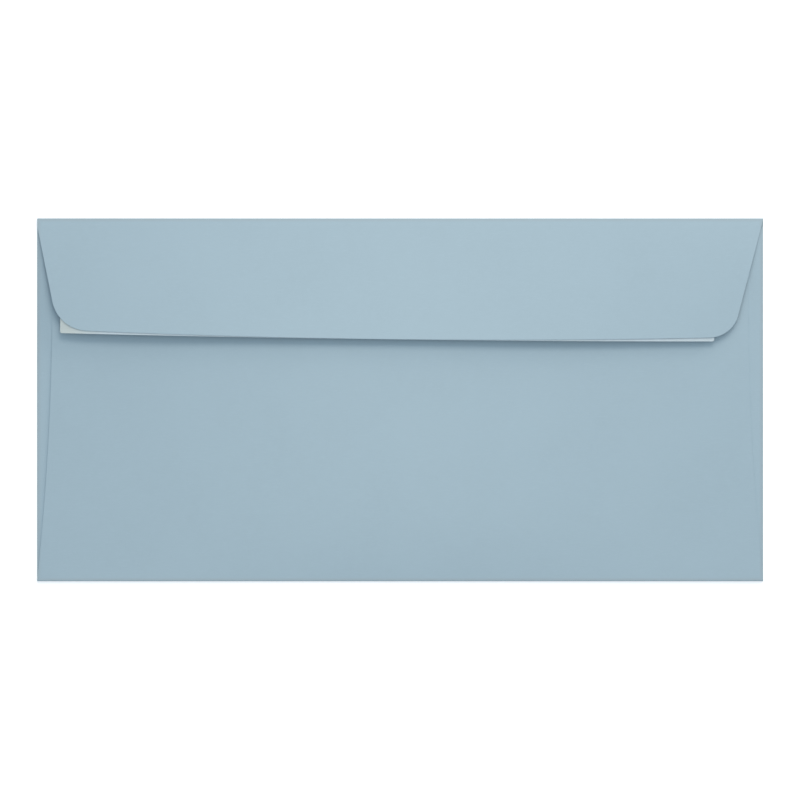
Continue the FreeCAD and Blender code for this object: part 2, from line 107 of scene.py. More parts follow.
class EnvelopeSizes(PropertyGroup):
    """Sizes of the folded paper, as the frame has them."""

    paper_thickness: length("Paper", 0.00015, "Thickness of the sheet")
    fold_gap: length("Side fold gap", 0.0002, "Air between the front panel and a side flap")
    flap_fold_gap: length("Flap fold gap", 0.0003, "Air inside the flap's fold")
    seam_glue: length("Seam glue", 0.00005, "Thickness of the glue in the side seams")
    side_flap_width: length("Side flap", 0.018, "Side fold to the side flap's free edge")
    side_flap_taper: length("Side flap taper", 0.008, "How much shorter that edge is at each end")
    side_flap_foot_gap: length("Side flap foot", 0.0006, "Side flap's low end to the bottom fold")
    side_flap_head_gap: length("Side flap head", 0.0025, "Side flap's high end to the flap's fold")
    back_inset: length("Back inset", 0.0045, "Side fold to the back panel's edge at the throat")
    back_edge_radius: length("Back edge radius", 0.79, "Radius of its hollow side edges")
    throat_depth: length("Throat", 0.014, "Flap's fold to the back panel's upper edge")
    throat_corner: length("Throat corner", 0.004, "Rounding of that edge's ends")
    free_half_width: length("Free half width", 0.0975, "Middle to the glued seam")
    pillow_height: length("Pillow", 0.0008, "How far the empty back panel bows up")
    pillow_rise: length("Pillow rise", 0.032, "Bottom fold to the crest of the bow")
    throat_share: FloatProperty(
        name="Throat share", description="Part of the bow left at the throat", default=0.5
    )
    flap_left_depth: length("Flap depth left", 0.0335, "Fold to the flap's left corner")
    flap_right_depth: length("Flap depth right", 0.0358, "Fold to the flap's right corner")
    flap_left_shoulder: length("Flap shoulder", 0.002, "Left side's straight run off the fold")
    flap_left_slant: angle("Flap slant left", 11.5, "How far the left side leans in")
    flap_right_slant: angle("Flap slant right", 14.7, "How far the right side leans in")
    flap_edge_bow: length("Flap edge bow", 0.00181, "How far its lower edge bows out")
    flap_left_corner: length("Flap corner left", 0.011, "Rounding of its left corner")
    flap_right_corner: length("Flap corner right", 0.009, "Rounding of its right corner")
    flap_spring: length("Flap spring", 0.0012, "Air under its lower edge")
    flap_left_sag: length("Flap sag left", 0.0004, "How far its left side would bend down")
    flap_left_sag_reach: length("Sag reach left", 0.03, "How far in that bend begins")
    flap_right_sag: length("Flap sag right", 0.0011, "How far its right side would bend down")
    flap_right_sag_reach: length("Sag reach right", 0.08, "How far in that bend begins")
    seal: length("Seal", 0.00005, "Thickness of the glue on the flap")
    seal_width: length("Seal width", 0.011, "Width of that band")
    seal_end_margin: length("Seal end margin", 0.004, "Bare strip past each end of the band")
    seal_edge_margin: length("Seal edge margin", 0.0025, "Bare strip along its lower edge")
    liner_thickness: length("Liner", 0.00007, "Thickness of the peel-off strip")
    liner_left_inset: length("Liner left inset", 0.007, "Side fold to the strip's left end")
    liner_right_inset: length("Liner right inset", 0.0149, "Other side fold to its right end")
    liner_width: length("Liner width", 0.016, "Width of the strip")
    liner_bow: length("Liner bow", 0.00065, "How far its long edges bow out with the flap's edge")
    liner_skew: angle("Liner skew", 0.09, "How far askew it lies to the flap's edge")
    liner_peek: length("Liner peek", 0.0001, "Strip's lower edge past the flap's, in the middle")
    liner_corner: length("Liner corner", 0.0006, "Rounding of the strip's corners")
    liner_curl: length("Liner curl", 0.0004, "How far the strip's left low corner hangs down")
    liner_curl_reach: length("Liner curl reach", 0.0065, "How far in from its end it curls")
    strip_step: length("Strip mesh step", 0.001, "Spacing of the strips' mesh")
    mesh_step: length("Mesh step", 0.0025, "Spacing of the paper's mesh")
    fold_steps: IntProperty(name="Fold steps", description="Faces round a fold", default=12)
    corner_cuts: IntProperty(name="Corner cuts", description="Cuts round a corner", default=20)
    edge_cuts: IntProperty(name="Edge cuts", description="Cuts along the bowed edge", default=36)


class EnvelopeColours(PropertyGroup):
    """Colours and finishes of the envelope, linear."""

    paper: colour("Paper", (0.325, 0.434, 0.495), "The dyed sheet")
    # Paper along the outer folds: greyer from rubbed dye and darker from painted shade where the
    # folds turn down.
    paper_wear_and_painted_shade: colour("Worn paper", (0.32, 0.40, 0.44), "The dyed sheet where a fold is rubbed")
    # Lighter than the dyed sheet: partly the pale cut fibres, partly painted light that lifts the
    # shade along the flap's and the seams' cut edges.
    paper_cut_and_painted_light: colour("Cut paper", (0.52, 0.63, 0.69), "The fibres along a cut edge")
    liner: colour("Liner", (0.56, 0.66, 0.71), "The peel-off strip")
    liner_aged: colour("Aged liner", (0.595, 0.665, 0.645), "The strip's bare left end")
    liner_cut: colour("Cut liner", (0.80, 0.86, 0.90), "The strip's cut edge")
    seal: colour("Seal", (0.62, 0.6, 0.52), "The tacky band on the flap")
    seam: colour("Seam glue", (0.55, 0.53, 0.45), "The dried glue in the seams")
    floor: colour("Floor", (0.93, 0.93, 0.93), "The studio's floor")
    sun: colour("Lamp light", (1.0, 0.88, 0.79), "The three lamps")
    sky: colour("Sky light", (0.843, 0.926, 1.0), "The soft light from all round")


class EnvelopeStudio(PropertyGroup):
    """The camera and the lights."""

    view_width: length("View width", 0.2424, "What the picture's width takes in")
    camera_height: length("Camera height", 3.0, "Camera above the floor")
    camera_aside: length("Camera aside", -0.00006, "Camera right of the envelope's middle")
    camera_ahead: length("Camera ahead", -0.00009, "Camera towards the flap's side of it")
    floor_size: length("Floor", 6.0, "Side of the floor")
    key_distance: length("Key distance", 1.5, "Strip light to the envelope")
    key_width: length("Key width", 1.25, "Of the strip light above the flap's side")
    key_depth: length("Key depth", 0.36, "Of that strip light")
    key_height: angle("Key height", 30.0, "Strip light above the floor")
    key_turn: angle("Key turn", 11.0, "Strip light round from the flap's side to the right")
    key_power: FloatProperty(name="Key power", description="Watts", default=11.6)
    low_distance: length("Low light distance", 0.85, "Low light to the envelope")
    low_width: length("Low light width", 0.8, "Of the low light on the right")
    low_depth: length("Low light depth", 0.18, "Of that light")
    low_height: angle("Low light height", 9.0, "Low light above the floor")
    low_turn: angle("Low light turn", 42.0, "Low light round from the flap's side to the right")
    low_power: FloatProperty(name="Low light power", description="Watts", default=5.9)
    pool_distance: length("Pool distance", 1.2, "Pool lamp to the envelope")
    pool_height: angle("Pool height", 40.0, "Pool lamp above the floor")
    pool_turn: angle("Pool turn", 11.0, "Pool lamp round from the flap's side to the right")
    pool_cone: angle("Pool cone", 11.5, "Opening of its soft cone of light")
    pool_size: length("Pool lamp size", 0.08, "Radius of the pool lamp")
    pool_aside: length("Pool aside", -0.012, "Middle of the pool right of the envelope's")
    pool_ahead: length("Pool ahead", -0.015, "Middle of the pool towards the flap's side")
    pool_power: FloatProperty(name="Pool power", description="Watts", default=11.0)
    sky_strength: FloatProperty(name="Sky", description="Strength of the soft sky", default=0.785)
    floor_glow: FloatProperty(name="Floor glow", description="The lit white sweep", default=0.35)


def shape_of(sizes):
    """Places and angles that follow from the sizes."""
    shape = SimpleNamespace()
    paper = sizes.paper_thickness
    half_width = SHEET_HIGH.x
    half_height = SHEET_HIGH.y
    side_top = 2 * paper + sizes.fold_gap
    shape.back_top = side_top + sizes.seam_glue + paper
    shape.side_radius = side_top / 2
    shape.bottom_radius = shape.back_top / 2
    shape.flap_radius = paper + sizes.flap_fold_gap / 2
    shape.side_x = half_width - shape.side_radius
    shape.bottom_y = -half_height + shape.bottom_radius
    shape.flap_y = half_height - shape.flap_radius
    shape.side_low_y = shape.bottom_y + sizes.side_flap_foot_gap
    shape.side_high_y = shape.flap_y - sizes.side_flap_head_gap
    shape.throat_y = half_height - sizes.throat_depth
    shape.throat_x = half_width - sizes.back_inset
    shape.half_width = half_width
    shape.liner_shift = (sizes.liner_left_inset - sizes.liner_right_inset) / 2
    shape.liner_half = half_width - (sizes.liner_left_inset + sizes.liner_right_inset) / 2
    shape_flap(shape, sizes)
    return shape


def shape_flap(shape, sizes):
    """The flap's outline in its own plane, and how that plane lies."""
    left_reach = sizes.flap_left_depth - sizes.flap_left_shoulder
    left = Vector((
        -shape.half_width + left_reach * math.tan(sizes.flap_left_slant),
        -sizes.flap_left_depth,
    ))
    right = Vector((
        shape.half_width - sizes.flap_right_depth * math.tan(sizes.flap_right_slant),
        -sizes.flap_right_depth,
    ))
    chord = right - left
    shape.flap_left, shape.flap_right = left, right
    shape.flap_along = chord.normalized()
    shape.flap_across = Vector((-shape.flap_along.y, shape.flap_along.x))
    half_chord = chord.length / 2
    bow = sizes.flap_edge_bow
    shape.edge_radius = (half_chord ** 2 + bow ** 2) / 2 / bow
    shape.edge_centre = (left + right) / 2 + shape.flap_across * (shape.edge_radius - bow)
    shape.edge_half_turn = math.asin(half_chord / shape.edge_radius)
    shape.flap_depth = (sizes.flap_left_depth + sizes.flap_right_depth) / 2 + bow
    under_edge = (
        shape.back_top + sizes.pillow_height + sizes.flap_spring
        + sizes.liner_thickness + sizes.seal
    )
    under_fold = sizes.paper_thickness + sizes.flap_fold_gap
    shape.flap_lift = math.asin((under_edge - under_fold) / shape.flap_depth)
    shape.flap_normal = Vector((0, math.sin(shape.flap_lift), math.cos(shape.flap_lift)))
    shape.flap_up = Vector((0, math.cos(shape.flap_lift), -math.sin(shape.flap_lift)))
    axis = Vector((0, shape.flap_y, shape.flap_radius))
    shape.flap_top = axis + shape.flap_normal * shape.flap_radius


def flap_point(shape, flat):
    """Where a point of the flap's outline is on its upper face."""
    return shape.flap_top + Vector((flat.x, 0, 0)) + shape.flap_up * flat.y


def flap_way(shape, flat):
    """A direction in the flap's outline, as it lies."""
    return Vector((flat.x, 0, 0)) + shape.flap_up * flat.y


# Work in edit mode, as by hand

def begin(name, add, **settings):
    """Adds a primitive with nothing else selected, names it and opens it for editing."""
    if bpy.context.object and bpy.context.object.mode != "OBJECT":
        bpy.ops.object.mode_set(mode="OBJECT")
    bpy.ops.object.select_all(action="DESELECT")
    add(**settings)
    piece = bpy.context.object
    piece.name = name
    piece.data.name = name
    bpy.ops.object.mode_set(mode="EDIT")
    return piece


def pick(piece, kind, test):
    """Selects just the edges or faces that pass a test."""
    bpy.ops.mesh.select_mode(type=kind)
    bpy.ops.mesh.select_all(action="DESELECT")
    mesh = bmesh.from_edit_mesh(piece.data)
    for item in mesh.edges if kind == "EDGE" else mesh.faces:
        if test(item):
            item.select_set(True)
    bmesh.update_edit_mesh(piece.data)


def middle(item):
    return sum((vertex.co for vertex in item.verts), Vector()) / len(item.verts)


def pick_rim(piece, test):
    """Selects the open edges whose two ends pass a test."""
    pick(piece, "EDGE", lambda edge: edge.is_boundary and all(test(v.co) for v in edge.verts))


def turn_fold(steps, turn, centre, axis):
    bpy.ops.mesh.spin(steps=steps, angle=turn, center=centre, axis=axis)


def extrude_by(offset):
    bpy.ops.mesh.extrude_region_move(TRANSFORM_OT_translate={"value": offset})


def widen(x, y, centre=(0, 0, 0)):
    bpy.ops.transform.resize(value=(x, y, 1), center_override=centre)


def trim(place, outward):
    """Cuts what is selected along a plane and drops what lies beyond it."""
    bpy.ops.mesh.bisect(plane_co=place, plane_no=outward, clear_outer=True, threshold=NEAR / 10)


def finish_piece(piece, slot, *nodes):
    """Says what the piece rides on and hides the nodes that it stands for; its slot is not used.
    """
    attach(piece, BODY)
    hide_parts(*nodes)


def apply_modifier(piece, kind, **settings):
    bpy.context.view_layer.objects.active = piece
    modifier = piece.modifiers.new(kind.title(), kind)
    for name, setting in settings.items():
        setattr(modifier, name, setting)
    bpy.ops.object.modifier_apply(modifier=modifier.name)


def smooth_piece(piece):
    """Smooth over folds and flats, sharp at the cut edges, with the flats kept flat."""
    bpy.ops.object.mode_set(mode="OBJECT")
    bpy.ops.object.shade_smooth_by_angle(angle=SMOOTH_ANGLE)
    apply_modifier(piece, "WEIGHTED_NORMAL", keep_sharp=True, weight=100)


# The folded sheet

def add_front_panel(sizes, shape):
    """The address panel, its outer face on the floor, drawn in where the side flaps fold."""
    height = shape.flap_y - shape.bottom_y
    piece = begin(
        "folded_paper", bpy.ops.mesh.primitive_grid_add,
        x_subdivisions=round(2 * shape.half_width / sizes.mesh_step),
        y_subdivisions=round(height / sizes.mesh_step), size=2,
    )
    widen(shape.half_width, height / 2)
    bpy.ops.transform.translate(value=(0, (shape.flap_y + shape.bottom_y) / 2, 0))
    for level in (
        shape.side_low_y - shape.side_radius, shape.side_low_y,
        shape.side_high_y, shape.side_high_y + shape.side_radius,
    ):
        bpy.ops.mesh.select_all(action="SELECT")
        bpy.ops.mesh.bisect(plane_co=(0, level, 0), plane_no=(0, 1, 0), threshold=NEAR)
    for side in (1, -1):
        pick_rim(piece, lambda place: (
            abs(place.x - side * shape.half_width) < NEAR
            and shape.side_low_y - NEAR < place.y < shape.side_high_y + NEAR
        ))
        bpy.ops.transform.translate(value=(-side * shape.side_radius, 0, 0))
    return piece


def add_side_flap(piece, sizes, shape, side):
    """One side's fold and the flap that it turns in over the front panel."""
    fold_x = side * shape.side_x
    pick_rim(piece, lambda place: (
        abs(place.x - fold_x) < NEAR and abs(place.z) < NEAR
        and shape.side_low_y - NEAR < place.y < shape.side_high_y + NEAR
    ))
    turn_fold(sizes.fold_steps, math.pi, (fold_x, 0, shape.side_radius), (0, side, 0))
    reach = sizes.side_flap_width - shape.side_radius
    rows = round(reach / sizes.mesh_step)
    half_end = (shape.side_high_y - shape.side_low_y) / 2
    centre = (0, (shape.side_high_y + shape.side_low_y) / 2, 0)
    half = half_end
    for row in range(rows):
        extrude_by((-side * reach / rows, 0, 0))
        tapered = half_end - sizes.side_flap_taper * (row + 1) / rows
        widen(1, tapered / half, centre)
        half = tapered


def back_half_width(sizes, shape, y):
    """Half the back panel's width at a height: its side edges are hollow arcs."""
    low = Vector((shape.half_width, shape.bottom_y))
    high = Vector((shape.throat_x, shape.throat_y))
    way = high - low
    outward = Vector((way.y, -way.x)).normalized()
    radius = sizes.back_edge_radius
    centre = (low + high) / 2 + outward * math.sqrt(radius ** 2 - (way.length / 2) ** 2)
    return centre.x - math.sqrt(radius ** 2 - (y - centre.y) ** 2)


def add_back_panel(piece, sizes, shape):
    """The bottom fold and the back panel up to the throat, row by row along its edges."""
    pick_rim(piece, lambda place: place.y < shape.bottom_y + NEAR and abs(place.z) < NEAR)
    turn_fold(
        sizes.fold_steps, math.pi, (0, shape.bottom_y, shape.bottom_radius), (1, 0, 0)
    )
    height = shape.throat_y - shape.bottom_y
    rows = round(height / sizes.mesh_step)
    half = shape.half_width
    for row in range(rows):
        extrude_by((0, height / rows, 0))
        wanted = back_half_width(sizes, shape, shape.bottom_y + height * (row + 1) / rows)
        widen(wanted / half, 1)
        half = wanted
    round_throat(piece, sizes, shape)
    bow_back_panel(piece, sizes, shape)


def on_back(shape, place):
    return abs(place.z - shape.back_top) < NEAR and place.y > shape.bottom_y - NEAR


def round_throat(piece, sizes, shape):
    radius = sizes.throat_corner
    for side in (1, -1):
        centre = Vector((side * (shape.throat_x - radius), shape.throat_y - radius, 0))
        for cut in range(1, sizes.corner_cuts):
            turn = math.pi / 2 * cut / sizes.corner_cuts
            outward = Vector((side * math.cos(turn), math.sin(turn), 0))
            pick(piece, "FACE", lambda face: all(on_back(shape, v.co) for v in face.verts))
            trim(centre + outward * radius, outward)


def bow_back_panel(piece, sizes, shape):
    """Lifts the back panel into its soft pillow: flat at the seams and the bottom fold."""
    crest_y = shape.bottom_y + sizes.pillow_rise
    mesh = bmesh.from_edit_mesh(piece.data)
    for vertex in mesh.verts:
        if not on_back(shape, vertex.co):
            continue
        across = max(0, 1 - (vertex.co.x / sizes.free_half_width) ** 2) ** 2
        if vertex.co.y < crest_y:
            left = 1 - (vertex.co.y - shape.bottom_y) / sizes.pillow_rise
            up = 1 - left ** 3
        else:
            past = (vertex.co.y - crest_y) / (shape.throat_y - crest_y)
            up = 1 - (1 - sizes.throat_share) * past ** 2
        vertex.co.z += sizes.pillow_height * across * up
    bmesh.update_edit_mesh(piece.data)


def add_flap(piece, sizes, shape):
    """The flap's fold, which stops short of a half turn, and the flap cut to its outline."""
    pick_rim(piece, lambda place: place.y > shape.flap_y - NEAR and abs(place.z) < NEAR)
    turn_fold(
        sizes.fold_steps, math.pi - shape.flap_lift,
        (0, shape.flap_y, shape.flap_radius), (-1, 0, 0),
    )
    rows = round(shape.flap_depth / sizes.mesh_step)
    reach = shape.flap_depth + sizes.mesh_step
    for _ in range(rows):
        extrude_by(-shape.flap_up * reach / rows)
    for place, outward in flap_cuts(sizes, shape):
        pick(piece, "FACE", lambda face: all(on_flap(shape, v.co) for v in face.verts))
        trim(flap_point(shape, place), flap_way(shape, outward))
    bend_corners(piece, sizes, shape, lambda place: on_flap(shape, place))


def on_flap(shape, place):
    from_top = place - shape.flap_top
    return abs(from_top.dot(shape.flap_normal)) < NEAR and from_top.dot(shape.flap_up) < NEAR


def bend_corners(piece, sizes, shape, test):
    """Lets what the test picks hang down with the flap's corners, more the lower it lies."""
    mesh = bmesh.from_edit_mesh(piece.data)
    for vertex in mesh.verts:
        if not test(vertex.co):
            continue
        down = max(0, (shape.flap_top.y - vertex.co.y) / shape.flap_depth)
        for side, sag, reach in (
            (-1, sizes.flap_left_sag, sizes.flap_left_sag_reach),
            (1, sizes.flap_right_sag, sizes.flap_right_sag_reach),
        ):
            near = max(0, 1 - (shape.half_width - side * vertex.co.x) / reach)
            vertex.co.z -= sag * near ** 2 * (3 - 2 * near) * down ** 2
    bmesh.update_edit_mesh(piece.data)


def flap_cuts(sizes, shape):
    """Straight cuts round the flap: its sides, its rounded corners and its bowed edge."""
    cuts = []
    corners = (
        (-1, shape.flap_left, sizes.flap_left_slant, sizes.flap_left_corner),
        (1, shape.flap_right, sizes.flap_right_slant, sizes.flap_right_corner),
    )
    for side, corner, slant, radius in corners:
        side_out = Vector((side * math.cos(slant), -math.sin(slant)))
        cuts.append((corner, side_out))
        cuts.extend(corner_cuts(sizes, shape, side_out, corner, radius))
    for cut in range(sizes.edge_cuts):
        turn = shape.edge_half_turn * (2 * (cut + 0.5) / sizes.edge_cuts - 1)
        outward = shape.flap_along * math.sin(turn) - shape.flap_across * math.cos(turn)
        cuts.append((shape.edge_centre + outward * shape.edge_radius, outward))
    return cuts


def corner_cuts(sizes, shape, side_out, corner, radius):
    """Cuts round one lower corner, tangent to its side and to the bowed edge.

    The corner circle's centre lies one radius inside the side and inside the edge's circle.
    """
    along_side = Vector((-side_out.y, side_out.x))
    if along_side.y < 0:
        along_side = -along_side
    foot = corner - side_out * radius
    from_centre = foot - shape.edge_centre
    inner = shape.edge_radius - radius
    half = from_centre.dot(along_side)
    rise = -half - math.sqrt(half ** 2 - from_centre.length_squared + inner ** 2)
    if rise < 0:
        rise = -half + math.sqrt(half ** 2 - from_centre.length_squared + inner ** 2)
    centre = foot + along_side * rise
    edge_out = (centre - shape.edge_centre).normalized()
    start = math.atan2(side_out.y, side_out.x)
    sweep = side_out.angle_signed(edge_out)
    cuts = []
    for cut in range(1, sizes.corner_cuts):
        turn = start - sweep * cut / sizes.corner_cuts
        outward = Vector((math.cos(turn), math.sin(turn)))
        cuts.append((centre + outward * radius, outward))
    return cuts


def face_outwards(piece):
    """Makes all faces agree, with the address side facing down."""
    bpy.ops.mesh.select_all(action="SELECT")
    bpy.ops.mesh.normals_make_consistent(inside=False)
    mesh = bmesh.from_edit_mesh(piece.data)
    lowest = min(mesh.faces, key=lambda face: middle(face).z)
    if lowest.normal.z > 0:
        bpy.ops.mesh.flip_normals()


# Materials

def new_material(name):
    """An empty material with its shader, and a function that adds a node to it."""
    material = bpy.data.materials.new(name)
    material.use_nodes = True
    tree = material.node_tree
    shader = next(node for node in tree.nodes if node.type == "BSDF_PRINCIPLED")

    def add(kind, inputs=None, **settings):
        node = tree.nodes.new(kind)
        for key, setting in settings.items():
            setattr(node, key, setting)
        for key, source in (inputs or {}).items():
            if isinstance(source, bpy.types.NodeSocket):
                tree.links.new(source, node.inputs[key])
            else:
                node.inputs[key].default_value = source
        return node

    return material, shader, add


def link(material, socket, source):
    material.node_tree.links.new(source, socket)


def noise(add, place, scale, detail=2.0, roughness=0.5, distortion=0.0):
    node = add("ShaderNodeTexNoise", {
        "Vector": place, "Scale": scale, "Detail": detail, "Roughness": roughness,
        "Distortion": distortion,
    })
    return node.outputs["Fac"]


def spread(add, source, low, high, to_low, to_high):
    node = add("ShaderNodeMapRange", {
        "Value": source, "From Min": low, "From Max": high, "To Min": to_low,
        "To Max": to_high,
    })
    return node.outputs["Result"]


def blend_colours(add, amount, first, second, mode="MIX"):
    node = add("ShaderNodeMix", data_type="RGBA", blend_type=mode)
    for socket, source in (
        (node.inputs["Factor"], amount),
        (node.inputs[6], first),
        (node.inputs[7], second),
    ):
        if isinstance(source, bpy.types.NodeSocket):
            node.id_data.links.new(source, socket)
        else:
            socket.default_value = source
    return node.outputs[2]


def calculate(add, operation, first, second=0.0):
    node = add("ShaderNodeMath", {0: first, 1: second}, operation=operation)
    return node.outputs[0]


def full(rgb, factor=1.0):
    return (*(channel * factor for channel in rgb), 1.0)


def fibre_layers(add, place):
    """Two crossing sets of drawn-out specks, the felted fibres of the sheet."""
    layers = []
    for degrees in (24.0, -37.0):
        turned = add("ShaderNodeMapping", {
            "Vector": place, "Rotation": (0, 0, math.radians(degrees)),
            "Scale": (420.0, 3600.0, 3600.0),
        })
        layers.append(noise(add, turned.outputs["Vector"], 1.0, 2.0, 0.6, 0.4))
    return calculate(add, "MAXIMUM", *layers)


def make_paper(name, base, shaded_wear):
    """Dyed, uncoated paper: cloudy formation, felted fibres, and outer folds that are rubbed and
    darkened with painted shade.
    """
    material, shader, add = new_material(name)
    place = add("ShaderNodeTexCoord").outputs["Object"]
    cloud = noise(add, place, 38.0, 3.0, 0.55)
    formation = noise(add, place, 420.0, 4.0, 0.6)
    fibres = fibre_layers(add, place)
    tone = blend_colours(
        add, spread(add, cloud, 0.3, 0.7, 0.0, 1.0), full(base, 0.985), full(base, 1.015)
    )
    tone = blend_colours(
        add, spread(add, formation, 0.35, 0.65, 0.0, 0.5), tone, full(base, 1.03)
    )
    tone = blend_colours(
        add, spread(add, fibres, 0.55, 0.75, 0.0, 0.35), tone, full(base, 1.09)
    )
    # Along the outer folds the tone turns greyer and darker: rubbed dye and painted shade.
    tone = blend_colours(add, fold_wear_and_shade(add, place, formation), tone, full(shaded_wear))
    link(material, shader.inputs["Base Color"], tone)
    link(material, shader.inputs["Roughness"], spread(add, formation, 0.3, 0.7, 0.82, 0.95))
    grain = calculate(
        add, "ADD", calculate(add, "MULTIPLY", fibres, 0.6),
        calculate(add, "MULTIPLY", formation, 0.6),
    )
    bump = add("ShaderNodeBump", {"Strength": 0.35, "Distance": 0.00002, "Height": grain})
    link(material, shader.inputs["Normal"], bump.outputs["Normal"])
    shader.inputs["Specular IOR Level"].default_value = 0.25
    shader.inputs["Sheen Weight"].default_value = 0.04
    return material


def fold_wear_and_shade(add, place, breakup):
    """How far the dye is rubbed and painted shade darkens it: along the outer folds, patchily."""
    axes = add("ShaderNodeSeparateXYZ", {"Vector": place})
    shaded_wear = 0.0
    for axis, reach in (("X", SHEET_HIGH.x), ("Y", SHEET_HIGH.y)):
        out = calculate(add, "ABSOLUTE", axes.outputs[axis])
        near = spread(add, out, reach - 0.0012, reach - 0.0003, 0.0, 1.0)
        shaded_wear = calculate(add, "MAXIMUM", near, shaded_wear)
    return calculate(add, "MULTIPLY", shaded_wear, spread(add, breakup, 0.3, 0.6, 0.6, 1.0))


def make_cut_edge(name, base):
    """The rough fibres that a blade leaves along an edge."""
    material, shader, add = new_material(name)
    place = add("ShaderNodeTexCoord").outputs["Object"]
    specks = noise(add, place, 5200.0, 3.0, 0.7)
    tone = blend_colours(
        add, spread(add, specks, 0.35, 0.65, 0.0, 1.0), full(base, 0.86), full(base, 1.1)
    )
    link(material, shader.inputs["Base Color"], tone)
    bump = add("ShaderNodeBump", {"Strength": 0.6, "Distance": 0.00003, "Height": specks})
    link(material, shader.inputs["Normal"], bump.outputs["Normal"])
    shader.inputs["Roughness"].default_value = 0.95
    shader.inputs["Specular IOR Level"].default_value = 0.15
    return material


def make_liner_paper(name, base, aged):
    """Smooth release paper with a soft sheen, yellowed where its left end lies bare."""
    material, shader, add = new_material(name)
    place = add("ShaderNodeTexCoord").outputs["Object"]
    formation = noise(add, place, 520.0, 3.0, 0.55)
    cloud = noise(add, place, 60.0, 2.0, 0.5)
    tone = blend_colours(
        add, spread(add, formation, 0.35, 0.65, 0.0, 1.0), full(base, 0.97), full(base, 1.03)
    )
    tone = blend_colours(
        add, spread(add, cloud, 0.35, 0.65, 0.0, 0.4), tone,
        (base[0] * 1.05, base[1] * 1.03, base[2] * 0.98, 1.0),
    )
    along = add("ShaderNodeSeparateXYZ", {"Vector": place}).outputs["X"]
    tone = blend_colours(add, spread(add, along, AGED_FROM, AGED_TO, 0.9, 0.0), tone, full(aged))
    link(material, shader.inputs["Base Color"], tone)
    link(material, shader.inputs["Roughness"], spread(add, formation, 0.3, 0.7, 0.42, 0.56))
    bump = add("ShaderNodeBump", {"Strength": 0.12, "Distance": 0.00001, "Height": formation})
    link(material, shader.inputs["Normal"], bump.outputs["Normal"])
    shader.inputs["Alpha"].default_value = 0.8
    shader.inputs["Specular IOR Level"].default_value = 0.45
    shader.inputs["Coat Weight"].default_value = 0.12
    shader.inputs["Coat Roughness"].default_value = 0.3
    return material


def make_glue(name, base, gloss):
    """A thin film of glue with streaks from its roller and small bubbles."""
    material, shader, add = new_material(name)
    place = add("ShaderNodeTexCoord").outputs["Object"]
    drawn = add("ShaderNodeMapping", {"Vector": place, "Scale": (120.0, 1400.0, 1400.0)})
    streaks = noise(add, drawn.outputs["Vector"], 1.0, 3.0, 0.6)
    bubbles = add("ShaderNodeTexVoronoi", {"Vector": place, "Scale": 900.0}).outputs["Distance"]
    tone = blend_colours(
        add, spread(add, streaks, 0.35, 0.65, 0.0, 1.0), full(base, 0.9), full(base, 1.08)
    )
    link(material, shader.inputs["Base Color"], tone)
    height = calculate(add, "ADD", streaks, calculate(add, "MULTIPLY", bubbles, 0.3))
    bump = add("ShaderNodeBump", {"Strength": 0.4, "Distance": 0.00002, "Height": height})
    link(material, shader.inputs["Normal"], bump.outputs["Normal"])
    shader.inputs["Roughness"].default_value = gloss
    shader.inputs["Coat Weight"].default_value = 0.3
    return material


def make_floor(name, base, glow):
    """A smooth pale sweep with a trace of unevenness, lit from within so that it stays white."""
    material, shader, add = new_material(name)
    place = add("ShaderNodeTexCoord").outputs["Object"]
    cloud = noise(add, place, 3.0, 2.0, 0.5)
    tone = blend_colours(
        add, spread(add, cloud, 0.3, 0.7, 0.0, 1.0), full(base, 0.99), full(base, 1.01)
    )
    link(material, shader.inputs["Base Color"], tone)
    shader.inputs["Roughness"].default_value = 0.9
    shader.inputs["Specular IOR Level"].default_value = 0.1
    shader.inputs["Emission Color"].default_value = full(base)
    shader.inputs["Emission Strength"].default_value = glow
    return material


# Operators

class ENVELOPE_OT_fold_sheet(Operator):
    """Fold the sheet of paper: panels, side flaps, back and flap"""

    bl_idname = "envelope.fold_sheet"
    bl_label = "Fold the Paper Sheet"

    def execute(self, context):
        sizes = context.scene.envelope_sizes
        colours = context.scene.envelope_colours
        shape = shape_of(sizes)
        piece = add_front_panel(sizes, shape)
        for side in (1, -1):
            add_side_flap(piece, sizes, shape, side)
        add_back_panel(piece, sizes, shape)
        add_flap(piece, sizes, shape)
        face_outwards(piece)
        bpy.ops.object.mode_set(mode="OBJECT")
        piece.data.materials.append(make_paper("dyed_paper", colours.paper, colours.paper_wear_and_painted_shade))
        # The sheet's cut edges take this lighter colour, which is partly painted light over their
        # shade.
        piece.data.materials.append(make_cut_edge("cut_paper_edge_painted_light", colours.paper_cut_and_painted_light))
        apply_modifier(
            piece, "SOLIDIFY", thickness=sizes.paper_thickness, offset=-1,
            use_even_offset=True, material_offset_rim=1,
        )
        smooth_piece(piece)
        finish_piece(piece, "envelope_paper", "envelope_sheet")
        return {"FINISHED"}


